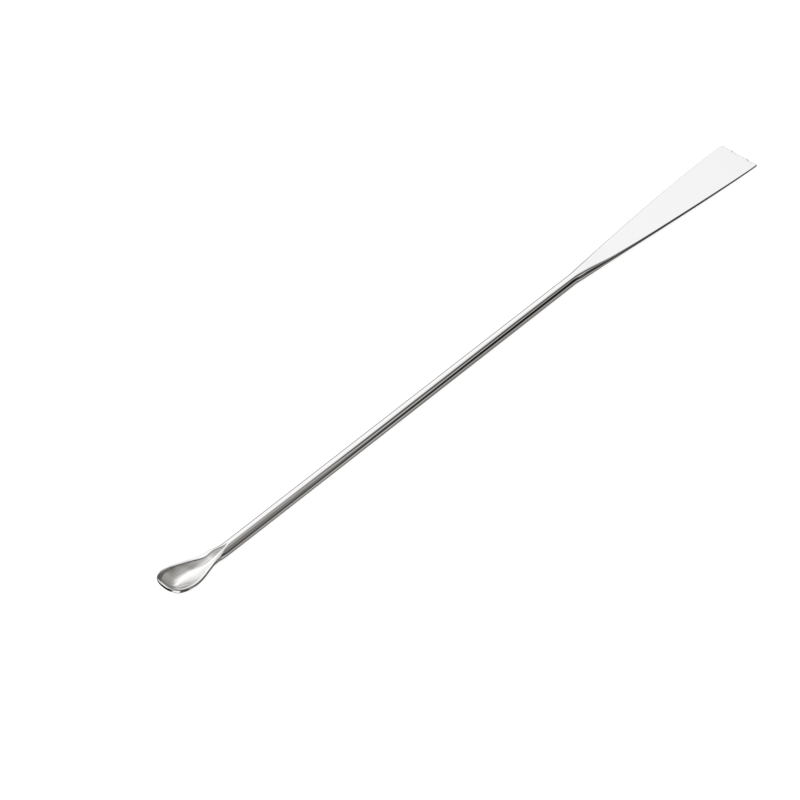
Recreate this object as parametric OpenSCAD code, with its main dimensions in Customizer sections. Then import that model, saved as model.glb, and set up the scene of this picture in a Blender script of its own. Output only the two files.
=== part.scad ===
// Double-ended laboratory spatula, one piece of round stainless rod.
// One end is forged into a long blade that flares to a square tip.
// The other end is forged into a small dished spoon with a flat lip and a raised tip.
// The rod runs along X, with the spoon towards -X, and it lies as it rests.

/* [Rod] */
// Length from the tip of the spoon to the tip of the blade
total_len = 200; // [160:5:260]
// Diameter of the round rod
rod_d = 3; // [2:0.1:4]

/* [Blade] */
// Length from the round rod to the tip
blade_len = 68; // [50:1:80]
// Width across the tip
blade_w = 11.7; // [8:0.1:16]
// Thickness at the tip
blade_t = 0.5; // [0.3:0.05:0.8]
// Thickness where the shoulder ends
blade_root_t = 1.25; // [0.9:0.05:1.6]
// Length of the shoulder, where the round rod turns flat
shoulder_len = 15; // [10:1:26]
// How far the tip curves down below the rod's axis
blade_drop = 2.2; // [0:0.1:4]
// Radius of the two corners of the tip
corner_r = 0.5; // [0.2:0.1:1.5]

/* [Spoon] */
// Length from the tip to where the bowl runs out on the rod
spoon_len = 19.4; // [16:0.1:24]
// Greatest width
spoon_w = 8.2; // [5:0.1:10]
// Distance from the tip to the widest place
widest_at = 5.2; // [3:0.1:7]
// Width of the bowl where it meets the rod
neck_w = 2.7; // [2:0.1:3.6]
// Height of the rim above the rod's axis at its lowest place
rim_low = 1.1; // [0.6:0.05:1.4]
// How far the tip of the rim rises above that lowest place
rim_rise = 3.25; // [0:0.05:4]
// Depth of the bowl below its rim
bowl_depth = 1.25; // [0.6:0.05:1.6]
// Width of the flat lip round the bowl
lip_w = 0.5; // [0.1:0.05:0.6]
// Width of the rounding outside the lip
edge_r = 0.3; // [0.15:0.05:0.4]
// Thickness of the rim along the sides
rim_t = 0.85; // [0.6:0.05:1.2]
// Thickness of the rim at the tip
nose_t = 1.35; // [0.8:0.05:1.6]
// Thickness of the floor of the bowl
floor_t = 0.8; // [0.5:0.05:1.2]

/* [Hidden] */

rod_r = rod_d / 2;
spoon_tip_x = -total_len / 2;
blade_tip_x = total_len / 2;
spoon_end_x = spoon_tip_x + spoon_len;
blade_root_x = blade_tip_x - blade_len;

// The forged ends reach into the rod and stand just inside its skin there
root_in = 1;
root_gap = 0.01;

// Facets of the blade: points round half a section, and stations along it
blade_side_n = 14;
shoulder_n = 24;
flat_n = 12;
corner_n = 5;
// Facets of the spoon: from the keel to the edge, round the edge, and across the bowl
keel_n = 9;
edge_n = 4;
bowl_n = 12;
// Stations along the spoon: round the tip, up to the widest place, and on to the rod
tip_n = 3;
nose_n = 12;
tail_n = 28;

// Shape of the blade: the flare starts softly, a little after the round rod, and
// slows towards the tip, and the blade curves down towards its tip
flare_from = 0.018;
flare_soft = 0.03;
flare_power = 1.44;
drop_power = 1.55;
// The press flattens the shoulder from here, and a slower share of it runs on further
shoulder_from = 0.16 * shoulder_len;
shoulder_tail = 1.8 * shoulder_len;
tail_share = 0.36;

// Shape of the spoon's outline: fullness of the nose, and slimness of the tail
nose_power = 2.6;
tail_power = 0.88;
// The spoon's own outline ends here, and from here on the bowl is a groove in the rod
body_len = 0.9072 * spoon_len;
// The rim curves up from here to the tip
curve_at = 0.785 * body_len;
// The rod's round section turns into the spoon's over this length
blend_len = 0.28 * body_len;
// The keel leaves the rod's underside here, and follows the bowl from there on
keel_from = 0.8 * body_len;
keel_to = 0.45 * body_len;
// The flanks under the rim are slim between these places
slim_from = 0.23 * body_len;
slim_to = 0.45 * body_len;
slim_end = 0.78 * body_len;
slim_out = 0.92 * body_len;
// The bowl is shallower where it is narrow, rounded in the nose, and a shallow V further on
depth_power = 0.7;
nose_depth_power = 1.2;
run_out_power = 5;
dish_power = 1.25;
nose_dish_power = 1.8;
dish_from = 0.14 * body_len;
dish_to = 0.43 * body_len;
// How square the edge is at the tip, from 0 for a sharp corner to 1 for a round one
nose_round = 0.5;
square_from = 0.085 * body_len;
square_to = 0.31 * body_len;
// Width and height of the short steep wall just inside the lip
wall_w = 0.16;
wall_drop = 0.22;
// The groove opens by this half angle for each mm towards the spoon, up to the most,
// and has a plain lip of this angle beside it
groove_rate = 11;
groove_least = 4;
groove_most = 60;
groove_lip = 10;

// The rod's underside and the blade's tip both touch the ground
tip_bottom = -blade_drop - blade_t / 2;
rest_x = spoon_tip_x + keel_from;
rest_tilt = atan((-rod_r - tip_bottom) / (blade_tip_x - rest_x));
rest_lift = rod_r * cos(rest_tilt) - rest_x * sin(rest_tilt);

function mix(a, b, k) = a * (1 - k) + b * k;
function clamp(k) = min(1, max(0, k));
function ease(k) = let (c = clamp(k)) c * c * (3 - 2 * c);

// ---- Blade: u runs from the round rod (0) to the tip (blade_len) ----

// Half the thickness: the rod's radius eases into a slow straight taper
function press(u, to) = ease((u - shoulder_from) / (to - shoulder_from));
function blade_h(u) =
    mix(rod_r, mix(blade_root_t, blade_t, u / blade_len) / 2,
        mix(press(u, shoulder_len), press(u, shoulder_tail), tail_share));

// Half the width: a flare that is strongest at the shoulder
function flare(k) = let (
    j = clamp((k - flare_from) / (1 - flare_from)),
    soft = clamp(j * j * (1 + flare_soft) / (j + flare_soft))
) 1 - pow(1 - soft, flare_power);
function corner_cut(d) = d >= corner_r ? 0 : corner_r - sqrt(pow(corner_r, 2) - pow(corner_r - d, 2));
function blade_half_w(u) = mix(rod_r, blade_w / 2, flare(u / blade_len)) - corner_cut(blade_len - u);

// Height of the blade's middle plane
function blade_z(u) = -blade_drop * pow(u / blade_len, drop_power);

// A flat section with round sides, which is a circle where w equals h
function flat_section(w, h, z) = let (step = 180 / blade_side_n) concat(
    [for (i = [0:blade_side_n - 1]) let (a = -90 + (i + 0.5) * step)
        [w - h + h * cos(a), z + h * sin(a)]],
    [for (i = [0:blade_side_n - 1]) let (a = 90 + (i + 0.5) * step)
        [h - w + h * cos(a), z + h * sin(a)]]
);

blade_stations = concat(
    [for (i = [0:shoulder_n - 1]) shoulder_tail * i / shoulder_n],
    [for (i = [0:flat_n - 1]) mix(shoulder_tail, blade_len - corner_r, i / flat_n)],
    [for (i = [0:corner_n]) blade_len - corner_r * (1 - sin(90 * i / corner_n))]
);

module blade() {
    root = flat_section(rod_r - root_gap, rod_r - root_gap, 0);
    loft(
        concat([blade_root_x - root_in], [for (u = blade_stations) blade_root_x + u]),
        concat([root], [for (u = blade_stations)
            u == 0 ? root : flat_section(blade_half_w(u), blade_h(u), blade_z(u))])
    );
}

// ---- Spoon: s runs from its tip (0) to where it meets the rod (spoon_len) ----

// How far the rod's round section has turned into the spoon's section
function neck_blend(s) = ease((body_len - s) / blend_len);

// Half the width of the outline drawn in by d: a full nose and a slim tail
function nose(k) = pow(1 - pow(1 - clamp(k), nose_power), 1 / nose_power);
function tail(k) = (1 + cos(180 * pow(clamp(k), tail_power))) / 2;
function half_w(s, d = 0) = s < widest_at
    ? (spoon_w / 2 - d) * nose((s - d) / (widest_at - d))
    : mix(neck_w, spoon_w, tail((s - widest_at) / (body_len - widest_at))) / 2
        - d * neck_blend(s);

// The bowl's own edge lies inside the rounding and the lip
bowl_in = edge_r + lip_w;

// Heights along the spoon's middle: rim, floor of the bowl, and keel below
function rim_z(s) = rim_low + rim_rise * pow(max(0, 1 - s / curve_at), 2);
function bowl(s) = bowl_depth
    * pow(half_w(s, bowl_in) / (spoon_w / 2 - bowl_in), s < widest_at ? nose_depth_power : depth_power)
    * (1 - pow(s / spoon_len, run_out_power));
function nose_mix(s) = ease(s / widest_at);
function under_bowl(s) = rim_z(s) - bowl(s) - mix(nose_t, floor_t, nose_mix(s));
function keel_z(s) = mix(-rod_r, under_bowl(s), ease((keel_from - s) / (keel_from - keel_to)));

// The body is never slimmer than the rod that it grows from
function body_half_w(s) = s < widest_at ? half_w(s) : pow(pow(half_w(s), 12) + pow(rod_r, 12), 1 / 12);

// Heights close in at the very tip, so that its edge is as round as the sides
function tip_round(s) = sqrt(1 - pow(1 - clamp(s / edge_r), 2));

// How slim the flanks are: 1 is an ellipse, and 2 is hollow just under the rim
function slim(s) = 1 + ease((s - slim_from) / (slim_to - slim_from))
    * (1 - ease((s - slim_end) / (slim_out - slim_end)));

// Half of the hollow, from its edge to the middle: a short steep wall and a wide dish
function dished(s, edge, z, depth) = let (
    power = mix(nose_dish_power, dish_power, ease((s - dish_from) / (dish_to - dish_from))),
    wall = min(wall_w / edge, 0.25),
    drop = min(wall_drop, 0.25 * depth)
) [for (i = [0:bowl_n]) let (k = cos(90 * i / bowl_n))
    [edge * k, z - drop * (1 - ease((k - 1 + wall) / wall))
        - (depth - drop) * (1 - pow(k, power))]];

// Half of the spoon's own section, from the keel round the edge to mid-bowl;
// the least shares keep its points apart at the tip
least_rim = 0.5;
least_bowl = 0.3;
function spoon_half(s) = let (
    w = body_half_w(s),
    rim_y = max(half_w(s, edge_r), least_rim * half_w(s)),
    bowl_y = max(half_w(s, bowl_in), least_bowl * half_w(s)),
    half_t = mix(nose_t, rim_t, nose_mix(s)) / 2,
    square = mix(nose_round, 1, ease((s - square_from) / (square_to - square_from))),
    side = rim_z(s) - half_t,
    top = side + half_t * tip_round(s)
) concat(
    [for (i = [0:keel_n]) let (a = 90 * i / keel_n)
        [w * sin(a), side - (side - keel_z(s)) * tip_round(s) * pow(cos(a), slim(s))]],
    [for (i = [1:edge_n]) let (a = 90 * i / edge_n)
        [mix(rim_y, w, pow(cos(a), square)), mix(side, top, pow(sin(a), square))]],
    dished(s, bowl_y, top, bowl(s))
);

// Half of a circle with the same number of points, with close ones on top
function rod_half(r, open = groove_least) = concat(
    [for (i = [0:keel_n]) let (a = 90 * i / keel_n) [r * sin(a), -r * cos(a)]],
    [for (i = [1:edge_n]) let (a = mix(90, 180 - open - groove_lip, i / edge_n))
        [r * sin(a), -r * cos(a)]],
    [for (i = [0:bowl_n]) let (y = r * sin(open) * cos(90 * i / bowl_n)) [y, sqrt(r * r - y * y)]]
);

// Half of the rod with the end of the bowl sunk into its top
function grooved_half(s) = let (
    open = min(groove_most, max(groove_least, groove_rate * (spoon_len - s))),
    half = rod_half(rod_r, open),
    first = keel_n + edge_n + 1,
    sunk = dished(s, half[first].x, half[first].y, bowl(s)),
    share = ease(spoon_len - s)
) [for (i = [0:len(half) - 1]) i < first ? half[i] : mix(half[i], sunk[i - first], share)];

function mirrored(half) = concat(half, [for (i = [len(half) - 2:-1:1]) [-half[i].x, half[i].y]]);
function spoon_section(s) = mirrored(mix(grooved_half(s), spoon_half(s), neck_blend(s)));

first_station = 0.01;
spoon_stations = concat(
    [for (i = [0:tip_n - 1]) mix(first_station, edge_r, pow(i / tip_n, 2))],
    [for (i = [0:nose_n - 1]) mix(edge_r, widest_at, 1 - cos(90 * i / nose_n))],
    [for (i = [0:tail_n - 1]) mix(widest_at, spoon_len, i / tail_n)]
);

module spoon() {
    root = mirrored(rod_half(rod_r - root_gap));
    loft(
        concat([for (s = spoon_stations) spoon_tip_x + s], [spoon_end_x, spoon_end_x + root_in]),
        concat([for (s = spoon_stations) spoon_section(s)], [root, root])
    );
}

// ---- Shared ----

// A closed skin through sections [y, z] that stand at the given places on X
module loft(places, sections) {
    n = len(sections[0]);
    last = len(sections) - 1;
    points = [for (k = [0:last]) for (p = sections[k]) [places[k], p.x, p.y]];
    sides = [for (k = [0:last - 1]) for (i = [0:n - 1]) let (j = (i + 1) % n, a = k * n, b = a + n)
        each [[a + i, b + i, b + j], [a + i, b + j, a + j]]];
    near_cap = [for (i = [0:n - 1]) i];
    far_cap = [for (i = [n - 1:-1:0]) last * n + i];
    polyhedron(points, concat([near_cap], sides, [far_cap]));
}

module rod() {
    translate([spoon_end_x, 0, 0])
        rotate([0, 90, 0])
            cylinder(h = blade_root_x - spoon_end_x, d = rod_d, $fn = 96);
}

module spatula() {
    color("silver")
        translate([0, 0, rest_lift])
            rotate([0, -rest_tilt, 0]) {
                rod();
                blade();
                spoon();
            }
}

spatula();
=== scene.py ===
"""Visual model of a double-ended laboratory spatula.

The spatula is one forging: a round steel rod whose one end is pressed into a
long flared blade and whose other end is pressed into a small dished spoon. The
mesh is drawn as one skin, by extruding a ring of points from the rod outwards
to either end, so the steel runs on without a seam. Lengths here are in
millimetres in the forging's own frame, where the rod's axis is X. They are
turned to metres and laid down in the rest pose when the mesh is made.
"""

import logging
import math
from dataclasses import dataclass, field
from enum import Enum

import bmesh
import bpy
from mathutils import Matrix, Vector


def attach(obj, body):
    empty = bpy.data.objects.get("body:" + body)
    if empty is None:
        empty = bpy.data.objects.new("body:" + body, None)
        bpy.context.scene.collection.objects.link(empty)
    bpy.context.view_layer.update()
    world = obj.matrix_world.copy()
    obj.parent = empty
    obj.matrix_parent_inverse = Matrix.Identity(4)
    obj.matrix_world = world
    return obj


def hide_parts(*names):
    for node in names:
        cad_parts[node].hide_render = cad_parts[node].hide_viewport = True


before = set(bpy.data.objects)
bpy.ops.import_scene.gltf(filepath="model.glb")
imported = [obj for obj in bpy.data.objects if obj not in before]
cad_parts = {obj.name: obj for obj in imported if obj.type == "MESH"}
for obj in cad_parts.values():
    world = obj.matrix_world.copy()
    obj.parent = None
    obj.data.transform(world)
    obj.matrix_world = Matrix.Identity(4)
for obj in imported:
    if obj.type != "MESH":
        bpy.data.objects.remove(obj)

LOG = logging.getLogger("spatula")
MM = 0.001
# Places of the low input, the high input and the output of a Mix node, by its data type.
MIX_SOCKETS = {"FLOAT": (2, 3, 0), "RGBA": (6, 7, 2)}

Point = tuple[float, float]
Triple = tuple[float, float, float]
Section = list[Point]
Feed = bpy.types.NodeSocket | float | tuple[float, ...]


class FinishAndShade(Enum):
    """The satin finish, and the painted shade on the blade's sides and on the spoon. The mesh
    keeps a share of each on every point.
    """

    SATIN = "satin"
    # Painted shade on the blade's round sides: colour darkened where they reflect the dark floor
    # beside them.
    PAINTED_EDGE_SHADE = "painted_edge_shade"
    # Painted shade and painted reflection on the spoon: darker in the crease round the bowl, under
    # the near lip, on the far rim, over the far half and at the neck.
    PAINTED_SHADE = "painted_shade"


def mix(low: float, high: float, share: float) -> float:
    """Straight blend of two numbers."""
    return low * (1.0 - share) + high * share


def clamp(value: float) -> float:
    """Holds a share between 0 and 1."""
    return min(1.0, max(0.0, value))


def ease(share: float) -> float:
    """Smooth step from 0 to 1."""
    share = clamp(share)
    return share * share * (3.0 - 2.0 * share)


def settle(share: float) -> float:
    """Smoother step from 0 to 1, without a kink in the shine at either end."""
    share = clamp(share)
    return share**3 * (10.0 + share * (6.0 * share - 15.0))


def quarter(step: int, steps: int) -> float:
    """Angle in radians after some steps of a quarter turn."""
    return math.radians(90.0 * step / steps)


def spaced(start: float, end: float, steps: int) -> list[float]:
    """Even steps from a start, which is left out, to an end."""
    return [mix(start, end, i / steps) for i in range(1, steps + 1)]


def mirrored(half: Section) -> Section:
    """Closes a half section, from its bottom to its top, into a whole ring."""
    return half + [(-y, z) for y, z in half[-2:0:-1]]


def joined(far: list[float], near: list[float]) -> list[float]:
    """Joins the shares of the far and the near half of a section into a ring's."""
    return far + near[-2:0:-1]


def blended(first: Section, second: Section, share: float) -> Section:
    """Blends two sections with the same number of points."""
    return [(mix(a[0], b[0], share), mix(a[1], b[1], share)) for a, b in zip(first, second)]


@dataclass(frozen=True)
class Fade:
    """A smooth step from 0 to 1: where it starts and how long it runs."""

    start: float
    run: float

    def at(self, place: float) -> float:
        """How far the step has come at a place."""
        return ease((place - self.start) / self.run)

    def left(self, place: float) -> float:
        """How much of the step is still to come at a place."""
        return 1.0 - self.at(place)


@dataclass(frozen=True)
class Band:
    """An amount that fades in and out again along the forging."""

    amount: float
    start: Fade
    end: Fade

    def at(self, place: float) -> float:
        """The amount at a place."""
        return self.amount * self.start.at(place) * self.end.left(place)


@dataclass(frozen=True)
class Hump:
    """A bell-shaped amount: its height, its middle and its spread."""

    height: float
    middle: float
    spread: float

    def at(self, place: float) -> float:
        """The amount at a place."""
        return self.height * math.exp(-(((place - self.middle) / self.spread) ** 2))


@dataclass(frozen=True)
class Ring:
    """How the points of every section are shared out, from bottom to top."""

    keel: int = 26
    edge: int = 12
    top: int = 26

    @property
    def count(self) -> int:
        """Points in a whole ring."""
        return 2 * (self.keel + self.edge + self.top + 1) - 2

    @property
    def bowl_start(self) -> int:
        """Number of the first point of the top strip, which turns into the bowl."""
        return self.keel + self.edge + 1

    def strip(self) -> list[float]:
        """Places of the top strip's points, from its edge (1) to its middle (0)."""
        return [math.cos(quarter(i, self.top)) for i in range(self.top + 1)]

    def circle(self, radius: float, open_deg: float = 4.0, lip_deg: float = 10.0) -> Section:
        """Half of a round section, with close points where the bowl opens into it.

        Args:
            radius: Radius of the rod in mm.
            open_deg: Half angle of the strip on top that turns into the bowl.
            lip_deg: Angle of the plain lip beside that strip.

        Returns:
            The half section from the bottom to the top.
        """
        lip = 180.0 - open_deg - lip_deg
        angles = [90.0 * i / self.keel for i in range(self.keel + 1)]
        angles += spaced(90.0, lip, self.edge)
        turns = [math.radians(angle) for angle in angles]
        half = [(radius * math.sin(a), -radius * math.cos(a)) for a in turns]
        opening = radius * math.sin(math.radians(open_deg))
        across = [opening * share for share in self.strip()]
        return half + [(y, math.sqrt(radius**2 - y**2)) for y in across]


@dataclass(frozen=True)
class Rod:
    """The round rod between the two forged ends."""

    total_len: float = 200.0
    diameter: float = 3.0
    segments: int = 24

    @property
    def radius(self) -> float:
        """Half the rod's diameter."""
        return self.diameter / 2.0


@dataclass(frozen=True)
class Blade:
    """The flared blade. u runs from the round rod (0) to the tip (length)."""

    rod: Rod
    ring: Ring
    length: float = 68.0
    width: float = 11.7
    tip_t: float = 0.5
    root_t: float = 1.25
    shoulder_from: float = 0.8
    shoulder: float = 16.6
    shoulder_tail: float = 29.5
    tail_share: float = 0.36
    drop: float = 2.2
    drop_power: float = 1.55
    flare_from: float = 0.024
    flare_soft: float = 0.03
    flare_power: float = 1.44
    settled_at: float = 6.0
    corner_r: float = 0.5
    worn_corner_r: float = 0.95
    bevel_len: float = 1.3
    bevel_depth: float = 0.05
    bevel_reach: float = 0.9
    bevel_waves: tuple[Triple, ...] = ((0.35, 1.7, 0.6), (0.2, 4.3, 0.0))
    # Angles over which the painted shade on the blade's sides fades out towards the top.
    edge_shade_fades_deg: Fade = Fade(45.0, 35.0)
    close_share: float = 1.5
    close_steps: int = 48
    face_steps: int = 44
    tip_len: float = 2.0
    tip_steps: int = 16
    corner_steps: int = 8

    def pressed(self, u: float, end: float) -> float:
        """How far the rod is pressed flat at u, where the press is done at an end."""
        return settle((u - self.shoulder_from) / (end - self.shoulder_from))

    def half_height(self, u: float) -> float:
        """Half the thickness: the rod's radius eases into a slow taper.

        Args:
            u: Distance from the round rod in mm.

        Returns:
            Half the thickness there in mm.
        """
        flat = mix(self.root_t, self.tip_t, u / self.length) / 2.0
        press, tail = self.pressed(u, self.shoulder), self.pressed(u, self.shoulder_tail)
        return mix(self.rod.radius, flat, mix(press, tail, self.tail_share))

    def half_width(self, u: float) -> float:
        """Half the width, with the two corners of the tip rounded off.

        Args:
            u: Distance from the round rod in mm.

        Returns:
            Half the width there in mm.
        """
        k = max(0.0, u / self.length - self.flare_from) / (1.0 - self.flare_from)
        k = clamp(k * k * (1.0 + self.flare_soft) / (k + self.flare_soft))
        flare = 1.0 - (1.0 - k) ** self.flare_power
        return mix(self.rod.radius, self.width / 2.0, flare) - self.corner_cut(u, self.corner_r)

    def corner_cut(self, u: float, radius: float) -> float:
        """How much a rounded corner takes off the half width."""
        left = min(radius, self.length - u)
        return radius - math.sqrt(radius**2 - (radius - left) ** 2)

    def middle_z(self, u: float) -> float:
        """Height of the blade's middle plane, which curves down to the tip."""
        return -self.drop * (u / self.length) ** self.drop_power

    def bevel(self, u: float, y: float) -> float:
        """How deep the ragged, hand-ground edge of the tip cuts into either face.

        Args:
            u: Distance from the round rod in mm.
            y: Distance from the blade's middle in mm.

        Returns:
            The depth in mm.
        """
        ragged = sum(size * math.sin(rate * y + turn) for size, rate, turn in self.bevel_waves)
        start = self.length - self.bevel_len * (1.0 + ragged)
        return self.bevel_depth * ease((u - start) / (self.length - start) * self.bevel_reach)

    def flat_half(self, u: float) -> Section:
        """Half of a flat section with round sides, from its bottom to its top.

        Args:
            u: Distance from the round rod in mm.

        Returns:
            The half section, with the tip's bevel taken off.
        """
        h, z = self.half_height(u), self.middle_z(u)
        flat = max(0.0, self.half_width(u) - h)
        under, edge, top = self.ring.keel // 2, self.ring.edge, self.ring.top
        side = self.ring.keel - under
        turns = [quarter(i, side) - math.pi / 2.0 for i in range(side + 1)]
        turns += [quarter(i, edge) for i in range(1, edge + 1)]
        half = [(flat * i / under, z - h) for i in range(under)]
        half += [(flat + h * math.cos(a), z + h * math.sin(a)) for a in turns]
        half += [(flat * (1.0 - i / (top + 1)), z + h) for i in range(1, top + 1)]
        half.append((0.0, z + h))
        return [
            (y, pz - math.copysign(min(abs(pz - z), self.bevel(u, y)), pz - z)) for y, pz in half
        ]

    def section(self, u: float) -> Section:
        """Whole section: round at the rod, soon flat, worn at the far corner.

        Args:
            u: Distance from the round rod in mm.

        Returns:
            The closed section.
        """
        round_half = self.ring.circle(self.rod.radius)
        ring = mirrored(blended(round_half, self.flat_half(u), settle(u / self.settled_at)))
        worn = self.corner_cut(u, self.worn_corner_r) - self.corner_cut(u, self.corner_r)
        return [(y - worn * max(0.0, y) / self.half_width(u), z) for y, z in ring]

    def painted_edge_shade(self, u: float) -> list[float]:
        """How much painted shade each point of the section takes, on the blade's round sides.

        Args:
            u: Distance from the round rod in mm.

        Returns:
            Shares from 0 to 1, in the section's order.
        """
        under, edge = self.ring.keel // 2, self.ring.edge
        half = [0.0] * under + [1.0] * (self.ring.keel - under + 1)
        half += [self.edge_shade_fades_deg.left(90.0 * i / edge) for i in range(1, edge + 1)]
        half += [0.0] * (self.ring.top + 1)
        share = Fade(self.shoulder_from, self.shoulder_tail - self.shoulder_from).at(u)
        return [weight * share for weight in joined(half, half)]

    def stations(self) -> list[float]:
        """Places of the sections, close together at the shoulder and the tip.

        Returns:
            Distances u in mm, from the first section after the rod to the tip.
        """
        close_end, face_end = self.shoulder * self.close_share, self.length - self.tip_len
        places = spaced(0.0, close_end, self.close_steps)
        places += spaced(close_end, face_end, self.face_steps)
        places += spaced(face_end, self.length - self.corner_r, self.tip_steps)
        for i in range(1, self.corner_steps + 1):
            left = 1.0 - math.sin(quarter(i, self.corner_steps))
            places.append(self.length - self.corner_r * left)
        return places


@dataclass(frozen=True)
class Spoon:
    """The dished spoon. s runs from its tip (0) to where the bowl runs out (length)."""

    rod: Rod
    ring: Ring
    length: float = 19.4
    body_len: float = 17.6
    width: float = 8.2
    widest_at: float = 5.2
    neck_w: float = 2.7
    rim_low: float = 1.1
    rim_rise: float = 3.25
    bowl_depth: float = 1.25
    lip_w: float = 0.5
    edge_r: float = 0.3
    rim_t: float = 0.85
    nose_t: float = 1.35
    floor_t: float = 0.8
    nose_power: float = 2.8
    tail_power: float = 0.88
    curve_share: float = 0.785
    blend_share: float = 0.28
    keel_from_share: float = 0.8
    keel_to_share: float = 0.45
    join_power: float = 12.0
    depth_power: float = 0.7
    nose_depth_power: float = 1.2
    run_out_power: float = 5.0
    dish_power: float = 1.25
    nose_dish_power: float = 1.8
    dish_widens: Fade = Fade(2.5, 5.0)
    crease_soft: float = 0.04
    nose_crease_soft: float = 0.18
    crease_sharpens: Fade = Fade(3.0, 4.0)
    crease_off: float = 0.45
    crease_back: float = 0.25
    crease_starts: Fade = Fade(2.0, 3.0)
    crease_crosses: Fade = Fade(8.0, 3.5)
    wall_w: float = 0.16
    wall_drop: float = 0.22
    wall_share: float = 0.25
    flank_slims: Band = Band(1.0, Fade(4.0, 3.9), Fade(13.7, 2.5))
    nose_square: float = 0.5
    rim_rounds: Fade = Fade(1.5, 4.0)
    least_rim: float = 0.5
    least_bowl: float = 0.3
    opening_rate: float = 11.0
    opening_least: float = 4.0
    opening_most: float = 60.0
    groove_sinks: Fade = Fade(0.0, 1.0)
    twist_deg: float = 11.0
    twist_grows: Fade = Fade(0.0, 2.0)
    lean: float = 0.28
    lean_grows: Fade = Fade(9.5, 3.5)
    land: Band = Band(0.32, Fade(0.0, 1.5), Fade(4.5, 7.0))
    burr: Hump = Hump(0.32, 15.3, 2.0)
    burr_power: int = 3
    far_swell: Band = Band(0.3, Fade(0.0, 3.2), Fade(15.5, 3.5))
    far_worn: Hump = Hump(0.28, 1.9, 1.2)
    reach: float = 0.06
    tail_steps: int = 76
    nose_steps: int = 44
    tip_steps: int = 10
    first_s: float = 0.0005

    @property
    def bowl_inset(self) -> float:
        """The bowl's own edge lies inside the rounding and the lip."""
        return self.edge_r + self.lip_w

    def neck_blend(self, s: float) -> float:
        """How far the round rod has turned into the spoon's own section."""
        return ease((self.body_len - s) / (self.blend_share * self.body_len))

    def nose(self, k: float) -> float:
        """Full outline from the tip (0) to the widest place (1)."""
        return (1.0 - (1.0 - clamp(k)) ** self.nose_power) ** (1.0 / self.nose_power)

    def half_width(self, s: float, inset: float = 0.0) -> float:
        """Half the width of the outline, drawn in by an inset.

        Args:
            s: Distance from the spoon's tip in mm.
            inset: How far inside the outline, in mm.

        Returns:
            Half the width there in mm.
        """
        if s < self.widest_at:
            return (self.width / 2.0 - inset) * self.nose((s - inset) / (self.widest_at - inset))
        k = clamp((s - self.widest_at) / (self.body_len - self.widest_at))
        tail = (1.0 + math.cos(math.pi * k**self.tail_power)) / 2.0
        return mix(self.neck_w, self.width, tail) / 2.0 - inset * self.neck_blend(s)

    def bowl_half_width(self, s: float) -> float:
        """Half the width of the bowl, which is never less than a share of the outline."""
        return max(self.half_width(s, self.bowl_inset), self.least_bowl * self.half_width(s))

    def body_half_width(self, s: float) -> float:
        """Half the width of the body, never slimmer than the rod.

        Args:
            s: Distance from the spoon's tip in mm.

        Returns:
            Half the width there in mm.
        """
        if s < self.widest_at:
            return self.half_width(s)
        own, rod = self.half_width(s) ** self.join_power, self.rod.radius**self.join_power
        return (own + rod) ** (1.0 / self.join_power)

    def rim_z(self, s: float) -> float:
        """Height of the rim, which curves up to the tip."""
        rise = max(0.0, 1.0 - s / (self.curve_share * self.body_len)) ** 2
        return self.rim_low + self.rim_rise * rise

    def bowl(self, s: float) -> float:
        """Depth of the bowl along its middle.

        Args:
            s: Distance from the spoon's tip in mm.

        Returns:
            The depth below the rim in mm.
        """
        full = self.width / 2.0 - self.bowl_inset
        share = max(0.0, self.half_width(s, self.bowl_inset)) / full
        power = self.nose_depth_power if s < self.widest_at else self.depth_power
        run_out = max(0.0, 1.0 - (s / self.length) ** self.run_out_power)
        return self.bowl_depth * share**power * run_out

    def keel_z(self, s: float) -> float:
        """Height of the underside along the middle.

        Args:
            s: Distance from the spoon's tip in mm.

        Returns:
            The height above the rod's axis in mm.
        """
        floor_t = mix(self.nose_t, self.floor_t, ease(s / self.widest_at))
        under_bowl = self.rim_z(s) - self.bowl(s) - floor_t
        from_s, to_s = self.keel_from_share * self.body_len, self.keel_to_share * self.body_len
        return mix(-self.rod.radius, under_bowl, ease((from_s - s) / (from_s - to_s)))

    def dished(self, s: float, edge: float, z: float, depth: float) -> Section:
        """Half of the bowl's cross-section: a short steep wall, then a wide hollow.

        Args:
            s: Distance from the spoon's tip in mm.
            edge: Half the bowl's width in mm.
            z: Height of its edge.
            depth: Depth in the middle.

        Returns:
            Points from the edge to the middle.
        """
        wall = min(self.wall_w / edge, self.wall_share)
        drop = min(self.wall_drop, self.wall_share * depth)
        power = mix(self.nose_dish_power, self.dish_power, self.dish_widens.at(s))
        soft = mix(self.nose_crease_soft, self.crease_soft, self.crease_sharpens.at(s))
        half: Section = []
        for k in self.ring.strip():
            step = drop * (1.0 - ease((k - 1.0 + wall) / wall))
            away = (math.hypot(k, soft) - soft) / (math.hypot(1.0, soft) - soft)
            half.append((edge * k, z - step - (depth - drop) * (1.0 - away**power)))
        return half

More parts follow.
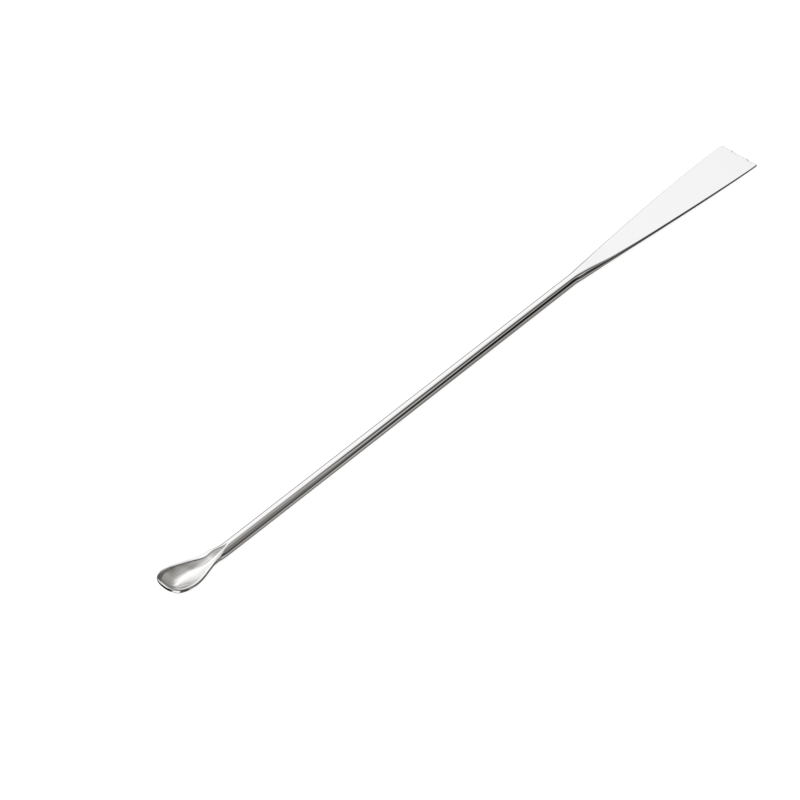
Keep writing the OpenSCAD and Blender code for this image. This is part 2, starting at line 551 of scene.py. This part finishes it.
    def own_half(self, s: float) -> Section:
        """Half of the spoon's own section, from the keel to the middle of the bowl.

        Args:
            s: Distance from the spoon's tip in mm.

        Returns:
            The half section: keel and flank, rounded rim, then the bowl.
        """
        w, keel_z = self.body_half_width(s), self.keel_z(s)
        rim_y = max(self.half_width(s, self.edge_r), self.least_rim * self.half_width(s))
        half_t = mix(self.nose_t, self.rim_t, ease(s / self.widest_at)) / 2.0
        tip_round = math.sqrt(1.0 - (1.0 - clamp(s / self.edge_r)) ** 2)
        side = self.rim_z(s) - half_t
        top = side + half_t * tip_round
        slim = 1.0 + self.flank_slims.at(s)
        square = mix(self.nose_square, 1.0, self.rim_rounds.at(s))
        half: Section = []
        for i in range(self.ring.keel + 1):
            a = quarter(i, self.ring.keel)
            low = (side - keel_z) * tip_round * max(0.0, math.cos(a)) ** slim
            half.append((w * math.sin(a), side - low))
        for i in range(1, self.ring.edge + 1):
            a = quarter(i, self.ring.edge)
            across, up = max(0.0, math.cos(a)) ** square, math.sin(a) ** square
            half.append((mix(rim_y, w, across), mix(side, top, up)))
        return half + self.dished(s, self.bowl_half_width(s), top, self.bowl(s))

    def grooved_half(self, s: float) -> Section:
        """Half of the round rod with the end of the bowl sunk into its top.

        Args:
            s: Distance from the spoon's tip in mm.

        Returns:
            The half section from the bottom to the top.
        """
        left = self.length - s
        open_deg = min(self.opening_most, max(self.opening_least, self.opening_rate * left))
        half = self.ring.circle(self.rod.radius, open_deg)
        start = self.ring.bowl_start
        edge, z = half[start]
        sunk = self.dished(s, edge, z, self.bowl(s))
        return half[:start] + blended(half[start:], sunk, self.groove_sinks.at(left))

    def askew(self, s: float, own: Section) -> Section:
        """Leans the bowl, moves its crease off the middle and widens its near lip.

        Args:
            s: Distance from the spoon's tip in mm.
            own: The spoon's own closed section there.

        Returns:
            The section with its bowl askew and all else as it was.
        """
        start = self.ring.bowl_start
        edge = own[start][0]
        lean, land = self.lean * self.lean_grows.at(s), self.land.at(s)
        side = mix(self.crease_off, -self.crease_back, self.crease_crosses.at(s))
        off = self.crease_starts.at(s) * side
        moved = list(own)
        for i in range(start, self.ring.count - start + 1):
            y, z = own[i]
            moved[i] = (y - lean + off * (1.0 - abs(y) / edge) + land * max(0.0, -y) / edge, z)
        return moved

    def section(self, s: float) -> Section:
        """Whole section, a little askew, with the burr that the press left.

        Args:
            s: Distance from the spoon's tip in mm.

        Returns:
            The closed section.
        """
        twist = math.radians(self.twist_deg) * self.twist_grows.at(self.length - s)
        sin, cos = math.sin(twist), math.cos(twist)
        groove = mirrored(self.grooved_half(s))
        groove = [(y * cos - z * sin, y * sin + z * cos) for y, z in groove]
        own = self.askew(s, mirrored(self.own_half(s)))
        ring = blended(groove, own, self.neck_blend(s))
        burr, swell = self.burr.at(s), self.far_swell.at(s) - self.far_worn.at(s)
        w = max(y for y, _ in ring)
        far = [max(0.0, y / w) for y, _ in ring]
        out = [burr * k**self.burr_power + swell * k for k in far]
        return [(y + extra, z) for (y, z), extra in zip(ring, out)]

    def place(self, s: float) -> float:
        """Distance from the nominal end of the rod, which the tip overshoots a little."""
        return s - self.reach * max(0.0, 1.0 - s / self.widest_at) ** 2

    def stations(self) -> list[float]:
        """Places of the sections from the rod to the tip.

        Returns:
            Distances s in mm, in falling order.
        """
        places = spaced(self.length, self.widest_at, self.tail_steps)
        for i in range(self.nose_steps - 1, -1, -1):
            share = 1.0 - math.cos(quarter(i, self.nose_steps))
            places.append(mix(self.edge_r, self.widest_at, share))
        for i in range(self.tip_steps - 1, -1, -1):
            places.append(mix(self.first_s, self.edge_r, (i / self.tip_steps) ** 2))
        return places


@dataclass(frozen=True)
class BowlFinishAndShade:
    """Where the spoon is satin, and where painted shade and painted reflection darken it, on the
    points of its sections.
    """

    spoon: Spoon
    satin_starts: Fade = Fade(0.2, 0.7)
    satin_grows: Fade = Fade(0.0, 1.0)
    satin_edge: float = 0.98
    satin_blur: float = 0.1
    # Painted shade in the crease along the bowl's edge, by distance from it in mm, on the far and
    # the near half.
    corner: Hump = Hump(1.0, 0.13, 0.2)
    far_corner: float = 0.7
    far_thins: Fade = Fade(1.8, 3.0)
    near_share: float = 0.6
    near_thins: Fade = Fade(2.5, 2.5)
    near_ends: Fade = Fade(6.0, 4.0)
    # Painted shade on the near lip, at the bowl's edge.
    near_lip: float = 0.15
    # Painted reflection: the far rim's rounding darkened near the tip.
    far_rim: Band = Band(0.9, Fade(0.1, 0.5), Fade(1.6, 2.4))
    rim_from: int = 3
    # Painted reflection: the far half of the bowl darker away from its middle.
    far_half_shade: Band = Band(0.395, Fade(3.8, 2.4), Fade(9.0, 4.0))
    far_half_shade_spreads: Fade = Fade(0.04, 0.34)
    # Painted reflection: the near half of the bowl darker at the neck.
    neck_shade: Band = Band(0.4, Fade(13.0, 3.0), Fade(17.6, 1.6))
    neck_spreads: Fade = Fade(0.0, 0.3)

    def satin(self, s: float) -> list[float]:
        """How much of each point of the section is the bowl's satin finish.

        Args:
            s: Distance from the spoon's tip in mm.

        Returns:
            Shares from 0 to 1, in the section's order.
        """
        spoon = self.spoon
        inside = self.satin_starts.at(s - spoon.bowl_inset) * self.satin_grows.at(spoon.length - s)
        half = [0.0] * spoon.ring.bowl_start
        for k in spoon.ring.strip():
            half.append(inside * ease((self.satin_edge - k) / self.satin_blur))
        return joined(half, half)

    def painted_shade(self, s: float) -> list[float]:
        """How much painted shade and painted reflection each point takes: under the lip, on the
        far rim, and over the far half and the neck.

        Args:
            s: Distance from the spoon's tip in mm.

        Returns:
            Shares from 0 to 1, in the section's order.
        """
        spoon, ring = self.spoon, self.spoon.ring
        edge = spoon.bowl_half_width(s)
        far_corner = self.far_corner * self.far_thins.left(s)
        near_corner = 1.0 - self.near_share * self.near_thins.at(s)
        near_corner -= (1.0 - self.near_share) * self.near_ends.at(s)
        clean = ring.keel + self.rim_from
        far = [0.0] * clean + [self.far_rim.at(s)] * (ring.bowl_start - clean)
        near = [0.0] * (ring.bowl_start - 1) + [self.near_lip * near_corner]
        for k in ring.strip():
            corner = self.corner.at(min(edge * (1.0 - k), s - spoon.bowl_inset))
            far.append(far_corner * corner + self.far_half_shade.at(s) * self.far_half_shade_spreads.at(k))
            near.append(near_corner * corner + self.neck_shade.at(s) * self.neck_spreads.at(k))
        return joined(far, near)


@dataclass(frozen=True)
class RestPose:
    """How the spatula lies: on the rod's underside and on the blade's tip."""

    tilt: float
    lift: float

    @classmethod
    def of(cls, rod: Rod, blade: Blade, spoon: Spoon) -> "RestPose":
        """Works out the pose from the sizes.

        Args:
            rod: The round rod.
            blade: The blade, whose tip touches the ground.
            spoon: The spoon, whose keel leaves the rod's underside where it rests.

        Returns:
            The tilt in radians and the lift in mm.
        """
        rest_x = -rod.total_len / 2.0 + spoon.keel_from_share * spoon.body_len
        tip_bottom = -blade.drop - blade.tip_t / 2.0
        tilt = math.atan((-rod.radius - tip_bottom) / (rod.total_len / 2.0 - rest_x))
        lift = rod.radius * math.cos(tilt) - rest_x * math.sin(tilt)
        return cls(tilt, lift)

    def matrix(self) -> Matrix:
        """From the forging's own frame in metres to the row's frame."""
        return Matrix.Translation((0.0, 0.0, self.lift * MM)) @ Matrix.Rotation(-self.tilt, 4, "Y")


class Nodes:
    """Short calls for building a node tree."""

    def __init__(self, tree: bpy.types.NodeTree) -> None:
        """Keeps the tree to build in."""
        self.tree = tree

    def add(self, kind: str, **settings: object) -> bpy.types.Node:
        """Adds a node and sets its properties.

        Args:
            kind: Blender's name for the type of node.
            settings: Properties of the node by their names.

        Returns:
            The new node.
        """
        node = self.tree.nodes.new(kind)
        for name, value in settings.items():
            setattr(node, name, value)
        return node

    def link(self, value: Feed, socket: bpy.types.NodeSocket) -> None:
        """Feeds a socket.

        Args:
            value: Another socket, or a plain number or colour.
            socket: The socket that takes it.
        """
        if isinstance(value, bpy.types.NodeSocket):
            self.tree.links.new(value, socket)
        else:
            socket.default_value = value

    def math(self, operation: str, *values: Feed) -> bpy.types.NodeSocket:
        """A Math node.

        Args:
            operation: Blender's name for the operation.
            values: What it works on, in order.

        Returns:
            Its result.
        """
        node = self.add("ShaderNodeMath", operation=operation)
        for value, socket in zip(values, node.inputs):
            self.link(value, socket)
        return node.outputs[0]

    def mix(self, low: Feed, high: Feed, share: Feed, kind: str = "FLOAT") -> bpy.types.NodeSocket:
        """A blend of two numbers, or of two colours.

        Args:
            low: What a share of 0 gives.
            high: What a share of 1 gives.
            share: The share.
            kind: FLOAT for numbers, RGBA for colours.

        Returns:
            The blend.
        """
        node = self.add("ShaderNodeMix", data_type=kind)
        low_at, high_at, result_at = MIX_SOCKETS[kind]
        self.link(share, node.inputs[0])
        self.link(low, node.inputs[low_at])
        self.link(high, node.inputs[high_at])
        return node.outputs[result_at]

    def blend(self, low: Feed, high: Feed, share: Feed) -> bpy.types.NodeSocket:
        """A blend of two colours, each a socket or three plain shares."""
        low, high = ((*c, 1.0) if isinstance(c, tuple) else c for c in (low, high))
        return self.mix(low, high, share, "RGBA")

    def step(self, value: bpy.types.NodeSocket, start: float, end: float) -> bpy.types.NodeSocket:
        """A smooth step from 0 to 1.

        Args:
            value: What is measured.
            start: Where the step starts.
            end: Where it ends.

        Returns:
            The share.
        """
        node = self.add("ShaderNodeMapRange", interpolation_type="SMOOTHSTEP")
        self.link(value, node.inputs["Value"])
        node.inputs["From Min"].default_value = start
        node.inputs["From Max"].default_value = end
        return node.outputs[0]


@dataclass(frozen=True)
class Streaks:
    """Noise drawn out along the rod: streaks per metre along each axis, and octaves."""

    scale: Triple
    detail: float

    def build(self, nodes: Nodes, place: bpy.types.NodeSocket) -> bpy.types.NodeSocket:
        """Makes the noise.

        Args:
            nodes: The tree to build in.
            place: Coordinates in metres.

        Returns:
            A factor from 0 to 1.
        """
        mapping = nodes.add("ShaderNodeMapping")
        mapping.inputs["Scale"].default_value = self.scale
        nodes.link(place, mapping.inputs["Vector"])
        noise = nodes.add("ShaderNodeTexNoise")
        noise.inputs["Scale"].default_value = 1.0
        noise.inputs["Detail"].default_value = self.detail
        nodes.link(mapping.outputs["Vector"], noise.inputs["Vector"])
        return noise.outputs["Fac"]


@dataclass(frozen=True)
class Steel:
    """Polished stainless steel, with a satin bowl, painted shade on the blade's sides and painted
    shade and reflection on the spoon.
    """

    tint: Triple = (0.797, 0.795, 0.80)
    satin_tint: Triple = (0.965, 0.958, 0.95)
    # Tint of the painted shade on the blade's sides.
    edge_shade_tint: Triple = (0.33, 0.325, 0.315)
    # Tint of the painted shade and painted reflection on the spoon.
    painted_shade_tint: Triple = (0.10, 0.097, 0.095)
    polished: float = 0.025
    satin: float = 0.25
    wander: float = 0.06
    draw_lines: Streaks = Streaks((60.0, 9000.0, 9000.0), 3.0)
    draw_depth: float = 0.016
    scratches: Streaks = Streaks((140.0, 2100.0, 1600.0), 4.0)
    scratch_depth: float = 0.3
    bump_m: float = 0.0001

    def build(self) -> bpy.types.Material:
        """Makes the material.

        Returns:
            The material, with its streaks on Object coordinates.
        """
        material = bpy.data.materials.new("stainless_steel")
        material.use_nodes = True
        nodes = Nodes(material.node_tree)
        shader = nodes.tree.nodes["Principled BSDF"]
        shader.inputs["Metallic"].default_value = 1.0
        place = nodes.add("ShaderNodeTexCoord").outputs["Object"]
        satin, painted_edge_shade, painted_shade = (
            nodes.add("ShaderNodeAttribute", attribute_name=finish_and_shade.value).outputs["Fac"]
            for finish_and_shade in FinishAndShade
        )
        face = nodes.blend(self.tint, self.satin_tint, satin)
        # Painted shade on the blade's sides, then painted shade and reflection on the spoon,
        # darken the base colour.
        face = nodes.blend(face, self.edge_shade_tint, painted_edge_shade)
        nodes.link(nodes.blend(face, self.painted_shade_tint, painted_shade), shader.inputs["Base Color"])

        lines = self.draw_lines.build(nodes, place)
        rough = nodes.mix(self.polished, self.satin, satin)
        wander = nodes.math("MULTIPLY_ADD", lines, self.wander, -self.wander / 2.0)
        nodes.link(nodes.math("ADD", rough, wander), shader.inputs["Roughness"])

        scratches = self.scratches.build(nodes, place)
        bump = nodes.add("ShaderNodeBump")
        bump.inputs["Distance"].default_value = self.bump_m
        depth = nodes.mix(self.draw_depth, self.scratch_depth, satin)
        nodes.link(depth, bump.inputs["Strength"])
        nodes.link(nodes.mix(lines, scratches, satin), bump.inputs["Height"])
        nodes.link(bump.outputs["Normal"], shader.inputs["Normal"])
        return material


@dataclass
class Spatula:
    """The whole forging: the rod, and the two ends drawn out of it."""

    rod: Rod = Rod()
    ring: Ring = Ring()
    steel: Steel = Steel()
    smooth_deg: float = 50.0
    blade: Blade = field(init=False)
    spoon: Spoon = field(init=False)
    bowl_finish_and_shade: BowlFinishAndShade = field(init=False)
    pose: RestPose = field(init=False)

    def __post_init__(self) -> None:
        """Sets up the two ends, the bowl's finish and the pose."""
        self.blade = Blade(self.rod, self.ring)
        self.spoon = Spoon(self.rod, self.ring)
        self.bowl_finish_and_shade = BowlFinishAndShade(self.spoon)
        self.pose = RestPose.of(self.rod, self.blade, self.spoon)

    def build(self) -> bpy.types.Object:
        """Returns:
            The finished piece.
        """
        piece = self._first_ring()
        bpy.ops.object.mode_set(mode="EDIT")
        mesh = bmesh.from_edit_mesh(piece.data)
        for finish_and_shade in FinishAndShade:
            mesh.verts.layers.float.new(finish_and_shade.value)
        mesh.verts.ensure_lookup_table()
        self._draw_blade(piece, list(mesh.verts))
        self._draw_spoon(piece, self._select_first_ring(piece))
        bpy.ops.mesh.select_all(action="SELECT")
        bpy.ops.mesh.normals_make_consistent(inside=False)
        bpy.ops.object.mode_set(mode="OBJECT")

        piece.data.transform(self.pose.matrix())
        bpy.ops.object.shade_smooth_by_angle(angle=math.radians(self.smooth_deg))
        piece.data.materials.append(self.steel.build())
        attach(piece, "root")
        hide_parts("spatula")
        return piece

    @property
    def end_x(self) -> float:
        """Where the blade's tip ends. The spoon's tip is as far the other way."""
        return self.rod.total_len / 2.0

    def _first_ring(self) -> bpy.types.Object:
        """Adds the ring that the rod starts from, where the bowl has run out.

        Returns:
            The object, which is one open ring.
        """
        bpy.ops.object.select_all(action="DESELECT")
        bpy.ops.mesh.primitive_circle_add(
            vertices=self.ring.count, radius=self.rod.radius * MM, fill_type="NOTHING"
        )
        piece = bpy.context.object
        piece.name = "forged_spatula"
        piece.data.name = "forged_spatula"
        x = self.spoon.length - self.end_x
        section = mirrored(self.ring.circle(self.rod.radius))
        for vertex, (y, z) in zip(piece.data.vertices, section):
            vertex.co = (x * MM, y * MM, z * MM)
        return piece

    def _select_first_ring(self, piece: bpy.types.Object) -> list[bmesh.types.BMVert]:
        """Selects the first ring alone, to go on the other way.

        Args:
            piece: The object in edit mode.

        Returns:
            The ring, in order and selected.
        """
        mesh = bmesh.from_edit_mesh(piece.data)
        mesh.verts.ensure_lookup_table()
        ring = [mesh.verts[i] for i in range(self.ring.count)]
        bpy.ops.mesh.select_all(action="DESELECT")
        wanted = set(ring)
        for vertex in ring:
            vertex.select = True
            for edge in vertex.link_edges:
                if edge.other_vert(vertex) in wanted:
                    edge.select = True
        return ring

    def _draw_blade(self, piece: bpy.types.Object, last: list[bmesh.types.BMVert]) -> None:
        """Draws the round rod and then the blade out of the first ring.

        Args:
            piece: The object in edit mode.
            last: The first ring, selected.
        """
        rod_to = self.end_x - self.blade.length
        rod_section = mirrored(self.ring.circle(self.rod.radius))
        for x in spaced(self.spoon.length - self.end_x, rod_to, self.rod.segments):
            last = self._draw_out(piece, last, x, rod_section, {})
        for u in self.blade.stations():
            # The blade's sides take painted shade.
            shares = {FinishAndShade.PAINTED_EDGE_SHADE: self.blade.painted_edge_shade(u)}
            last = self._draw_out(piece, last, rod_to + u, self.blade.section(u), shares)
        self._close(piece)

    def _draw_spoon(self, piece: bpy.types.Object, last: list[bmesh.types.BMVert]) -> None:
        """Draws the neck and the spoon out of the first ring.

        Args:
            piece: The object in edit mode.
            last: The first ring, selected.
        """
        spoon, finish_and_shade = self.spoon, self.bowl_finish_and_shade
        for s in spoon.stations():
            # The spoon takes its satin share and its painted shade and reflection.
            shares = {FinishAndShade.SATIN: finish_and_shade.satin(s), FinishAndShade.PAINTED_SHADE: finish_and_shade.painted_shade(s)}
            x = spoon.place(s) - self.end_x
            last = self._draw_out(piece, last, x, spoon.section(s), shares)
        self._close(piece)

    @staticmethod
    def _draw_out(
        piece: bpy.types.Object,
        last: list[bmesh.types.BMVert],
        x: float,
        section: Section,
        shares: dict[FinishAndShade, list[float]],
    ) -> list[bmesh.types.BMVert]:
        """Extrudes the selected ring to a new place and gives it a new section.

        Args:
            piece: The object in edit mode.
            last: The ring that is extruded, in order.
            x: Where the new ring stands, in mm along the rod.
            section: Its points (y, z) in mm, in order.
            shares: The share of each finish and painted shade on each point. One left out is 0.

        Returns:
            The new ring, in order and selected.
        """
        mesh = bmesh.from_edit_mesh(piece.data)
        bpy.ops.mesh.extrude_region_move(
            TRANSFORM_OT_translate={"value": (x * MM - last[0].co.x, 0.0, 0.0)}
        )
        ring: list[bmesh.types.BMVert] = []
        for old, (y, z) in zip(last, section):
            new = next(v for e in old.link_edges if (v := e.other_vert(old)).select)
            new.co = (x * MM, y * MM, z * MM)
            ring.append(new)
        for finish_and_shade in FinishAndShade:
            layer = mesh.verts.layers.float[finish_and_shade.value]
            for new, share in zip(ring, shares.get(finish_and_shade, [0.0] * len(ring))):
                new[layer] = share
        return ring

    @staticmethod
    def _close(piece: bpy.types.Object) -> None:
        """Closes the selected open end with a fan of faces round its middle.

        Args:
            piece: The object in edit mode.
        """
        bpy.ops.mesh.edge_face_add()
        bpy.ops.mesh.poke()
        bmesh.update_edit_mesh(piece.data)


@dataclass(frozen=True)
class Card:
    """A pale or dark card beside the table, as the polished steel sees it.

    Stops give, for how far a direction leans along the rod (0 square, 1 on to
    the blade's end, -1 on to the spoon's), the card's angle from overhead
    towards the front, its half width, both in degrees, and how much it covers.
    """

    name: str
    tone: float
    hardness: float
    stops: tuple[tuple[float, float, float, float], ...]
    both_sides: bool = False

    def over(
        self, nodes: Nodes, level: Feed, lean: bpy.types.NodeSocket, angle: bpy.types.NodeSocket
    ) -> bpy.types.NodeSocket:
        """Lays the card over what is seen so far.

        Args:
            nodes: The tree to build in.
            level: Brightness so far.
            lean: Share of the direction that runs along the rod.
            angle: Angle from overhead, in degrees.

        Returns:
            The brightness with this card in front.
        """
        ramp = nodes.add("ShaderNodeValToRGB", label=self.name)
        elements = ramp.color_ramp.elements
        while len(elements) < len(self.stops):
            elements.new(1.0)
        for element, (place, centre, spread, cover) in zip(elements, self.stops):
            element.position = (place + 1.0) / 2.0
            element.color = ((centre + 180.0) / 360.0, spread / 180.0, cover, 1.0)
        nodes.link(nodes.math("MULTIPLY_ADD", lean, 0.5, 0.5), ramp.inputs[0])
        parts = nodes.add("ShaderNodeSeparateColor")
        nodes.link(ramp.outputs[0], parts.inputs[0])
        centre = nodes.math("MULTIPLY_ADD", parts.outputs[0], 360.0, -180.0)
        spread = nodes.math("MULTIPLY", parts.outputs[1], 180.0)
        if self.both_sides:
            angle = nodes.math("ABSOLUTE", angle)
        share = nodes.math("DIVIDE", nodes.math("SUBTRACT", angle, centre), spread)
        fall = nodes.math("POWER", nodes.math("ABSOLUTE", share), self.hardness)
        mask = nodes.math("EXPONENT", nodes.math("MULTIPLY", fall, -1.0))
        return nodes.mix(level, self.tone, nodes.math("MULTIPLY", mask, parts.outputs[2]))


CARDS = (
    Card("tent end", 1.12, 4, (
        (0.56, -35, 50, 0), (0.69, -35, 50, 1), (0.75, -35, 50, 0),
    )),
    Card("front", 0.24, 10, (
        (0.41, 90, 97, 1), (0.43, 92, 95, 1), (0.457, 94.5, 93, 1), (0.51, 92.5, 95, 1),
        (0.535, 92, 95.5, 1), (0.552, 98, 89, 1), (0.6, 95, 92, 1), (0.69, 88, 101, 1),
        (0.74, 78, 110, 1), (0.79, 67, 121, 1), (0.82, 62, 126, 1), (1, 58, 130, 1),
    )),
    Card("low end", 0.36, 6, (
        (0.8, 60, 135, 0), (0.88, 60, 135, 1), (1, 60, 135, 1),
    )),
    Card("near gap", 0.02, 6, (
        (0.6, 118, 36, 0), (0.66, 122, 36, 0.7), (0.72, 110, 48, 1), (0.88, 100, 46, 1),
        (0.93, 100, 46, 0),
    )),
    Card("pale ridge", 0.65, 2, (
        (0.41, 20, 9, 0.8), (0.44, 35, 9, 0.8), (0.465, 50, 10, 1), (0.5, 49, 10, 1),
        (0.53, 45, 10, 0.8), (0.55, 45, 10, 0.6), (0.575, 45, 10, 0),
    )),
    Card("dark line", 0.01, 2, (
        (0.41, 3, 7, 0.35), (0.435, 12, 7, 0.45), (0.45, 21, 8, 0.9), (0.465, 26, 9.5, 1),
        (0.51, 26.5, 10, 1), (0.53, 27, 10, 1), (0.55, 29, 9, 0.9), (0.6, 34, 12, 0.9),
        (0.66, 36, 12, 0.6),
    )),
    Card("front gap", 0.004, 7, (
        (-0.05, 112, 50, 0.7), (0.1, 112, 44, 0.75), (0.34, 110, 38, 0.75),
        (0.42, 99, 20, 0.64), (0.45, 96, 20, 0.66), (0.465, 88, 24, 0.75),
        (0.484, 84, 23, 0.87), (0.5, 79, 22, 0.93), (0.51, 74.5, 21, 1),
        (0.55, 73.5, 21.5, 1), (0.58, 70, 28, 1), (0.6, 70, 28, 0.85), (0.635, 68, 30, 0.15),
    )),
    Card("table edge", 0.6, 4, (
        (0.34, 134, 15, 0), (0.41, 132, 15, 0.85), (0.457, 130, 15, 0.95), (0.475, 122, 14, 1),
        (0.51, 111, 14, 0.45), (0.55, 118, 16, 0.45),
    )),
    Card("contact", 0.13, 4, (
        (0.1, 170, 40, 1), (0.16, 170, 20, 0), (0.37, 170, 22, 0), (0.41, 168, 22, 0.9),
        (0.46, 168, 22, 0.9), (0.51, 166, 22, 0.65), (0.55, 164, 20, 0.55),
    ), both_sides=True),
    Card("near end", 0.01, 6, (
        (-0.99, 165, 65, 0), (-0.95, 165, 65, 1), (-0.2, 165, 65, 1), (-0.05, 165, 65, 0),
    ), both_sides=True),
    Card("far gap", 0.02, 6, (
        (-0.6, -125, 26, 0), (-0.4, -125, 26, 1), (0.12, -122, 24, 1), (0.32, -122, 22, 0),
    )),
    Card("end glint", 1.18, 6, (
        (-0.78, 133, 37, 0), (-0.72, 133, 37, 1), (-0.2, 133, 37, 1), (-0.1, 133, 34, 0),
    )),
    Card("far end", 0.26, 4, (
        (0.79, -95, 52, 0), (0.82, -95, 52, 1), (1, -95, 52, 1),
    )),
    Card("back gap", 0.22, 2, (
        (0.41, -96, 17, 0.95), (0.56, -94, 17, 0.95), (0.6, -93, 17, 0.92),
        (0.635, -92, 16, 0.8), (0.66, -92, 16, 0.8), (0.69, -92, 16, 0.65),
        (0.73, -94, 13, 0),
    )),
)


@dataclass(frozen=True)
class Softbox:
    """A large soft lamp above and behind, in metres and watts."""

    size: Point = (1.6, 1.2)
    power: float = 2.0
    place: Triple = (0.3, 0.7, 1.4)

    def build(self) -> None:
        """Hangs the lamp, turned to the middle of the table and unseen by the steel."""
        light = bpy.data.lights.new("softbox", "AREA")
        light.shape = "RECTANGLE"
        light.size, light.size_y = self.size
        light.energy = self.power
        lamp = bpy.data.objects.new("softbox", light)
        bpy.context.scene.collection.objects.link(lamp)
        lamp.location = self.place
        lamp.rotation_euler = Vector(self.place).to_track_quat("Z", "Y").to_euler()
        lamp.visible_camera = False
        lamp.visible_glossy = False


@dataclass(frozen=True)
class Viewpoint:
    """The camera: it looks down on the rod from its spoon end and from the front."""

    heading_deg: float = 47.427
    height_deg: float = 45.635
    distance: float = 591.962
    lens: float = 112.5
    sensor: float = 36.0
    frame_px: float = 800.0
    aim_px: Point = (475.901, 354.410)
    clip_m: Point = (0.01, 20.0)

    def build(self, pose: RestPose) -> None:
        """Sets up the camera.

        Args:
            pose: How the forging lies, which the camera is placed by.
        """
        heading, height = math.radians(self.heading_deg), math.radians(self.height_deg)
        focal_px, middle_px = self.lens / self.sensor * self.frame_px, self.frame_px / 2.0
        back = Vector((
            -math.sin(heading) * math.cos(height),
            -math.cos(heading) * math.cos(height),
            math.sin(height),
        ))
        straight = (-back).to_track_quat("-Z", "Y")
        right, down = ((px - middle_px) / focal_px for px in self.aim_px)
        swing = Vector((0.0, 0.0, -1.0)).rotation_difference(Vector((right, -down, -1.0)))
        turned = (straight @ swing.inverted()).to_matrix().to_4x4()
        data = bpy.data.cameras.new("camera")
        data.lens, data.sensor_width = self.lens, self.sensor
        data.clip_start, data.clip_end = self.clip_m
        camera = bpy.data.objects.new("camera", data)
        bpy.context.scene.collection.objects.link(camera)
        place = Matrix.Translation(back * self.distance * MM)
        camera.matrix_world = pose.matrix() @ place @ turned
        bpy.context.scene.camera = camera


@dataclass(frozen=True)
class Studio:
    """Plain pale floor, soft light and the camera."""

    pose: RestPose
    floor_size: float = 4.0
    paper: float = 0.55
    paper_glow: float = 0.72
    white: float = 1.18
    warm_dark: Triple = (1.0, 0.96, 0.90)
    neutral: Triple = (1.0, 1.0, 1.0)
    warm_to_neutral: Point = (0.1, 1.0)
    cards: tuple[Card, ...] = CARDS
    lamp: Softbox = Softbox()
    viewpoint: Viewpoint = Viewpoint()

    def build(self) -> None:
        """Builds the floor, the surroundings, the lamp and the camera."""
        self._floor()
        self._surroundings()
        self.lamp.build()
        self.viewpoint.build(self.pose)
        bpy.context.scene.view_settings.view_transform = "Standard"

    def _floor(self) -> None:
        """Lays a white floor that keeps the spatula's soft shadow."""
        bpy.ops.object.select_all(action="DESELECT")
        bpy.ops.mesh.primitive_plane_add(size=self.floor_size)
        floor = bpy.context.object
        floor.name = "floor"
        floor.visible_glossy = False
        material = bpy.data.materials.new("floor_paper")
        material.use_nodes = True
        nodes = Nodes(material.node_tree)
        nodes.tree.nodes.remove(nodes.tree.nodes["Principled BSDF"])
        rays = nodes.add("ShaderNodeLightPath").outputs
        paper = nodes.add("ShaderNodeBsdfDiffuse")
        paper.inputs["Color"].default_value = (self.paper, self.paper, self.paper, 1.0)
        glow = nodes.add("ShaderNodeEmission")
        strength = nodes.math("MULTIPLY", rays["Is Camera Ray"], self.paper_glow)
        nodes.link(strength, glow.inputs["Strength"])
        seen = nodes.add("ShaderNodeAddShader")
        nodes.link(paper.outputs[0], seen.inputs[0])
        nodes.link(glow.outputs[0], seen.inputs[1])
        nodes.link(seen.outputs[0], nodes.tree.nodes["Material Output"].inputs["Surface"])
        floor.data.materials.append(material)

    def _surroundings(self) -> None:
        """Sets up a world that is white to the eye and a tent with cards to the steel."""
        world = bpy.data.worlds.new("light_tent")
        bpy.context.scene.world = world
        world.use_nodes = True
        nodes = Nodes(world.node_tree)
        shine = nodes.tree.nodes["Background"]
        rays = nodes.add("ShaderNodeLightPath").outputs
        split = nodes.add("ShaderNodeSeparateXYZ")
        nodes.link(nodes.add("ShaderNodeTexCoord").outputs["Generated"], split.inputs[0])
        along, across, up = split.outputs
        front = nodes.math("MULTIPLY", across, -1.0)
        angle = nodes.math("DEGREES", nodes.math("ARCTAN2", front, up))
        level: Feed = self.white
        for card in self.cards:
            level = card.over(nodes, level, along, angle)
        seen = nodes.mix(1.0, level, rays["Is Glossy Ray"])
        paleness = nodes.step(seen, *self.warm_to_neutral)
        tone = nodes.blend(self.warm_dark, self.neutral, paleness)
        nodes.link(tone, shine.inputs["Color"])
        nodes.link(seen, shine.inputs["Strength"])


def main() -> None:
    """Builds the spatula and its studio."""
    logging.basicConfig(level=logging.INFO, format="%(name)s: %(message)s")
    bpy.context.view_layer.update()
    spatula = Spatula()
    piece = spatula.build()
    LOG.info("%s: %d faces", piece.name, len(piece.data.polygons))
    Studio(spatula.pose).build()


if __name__ == "__main__":
    main()
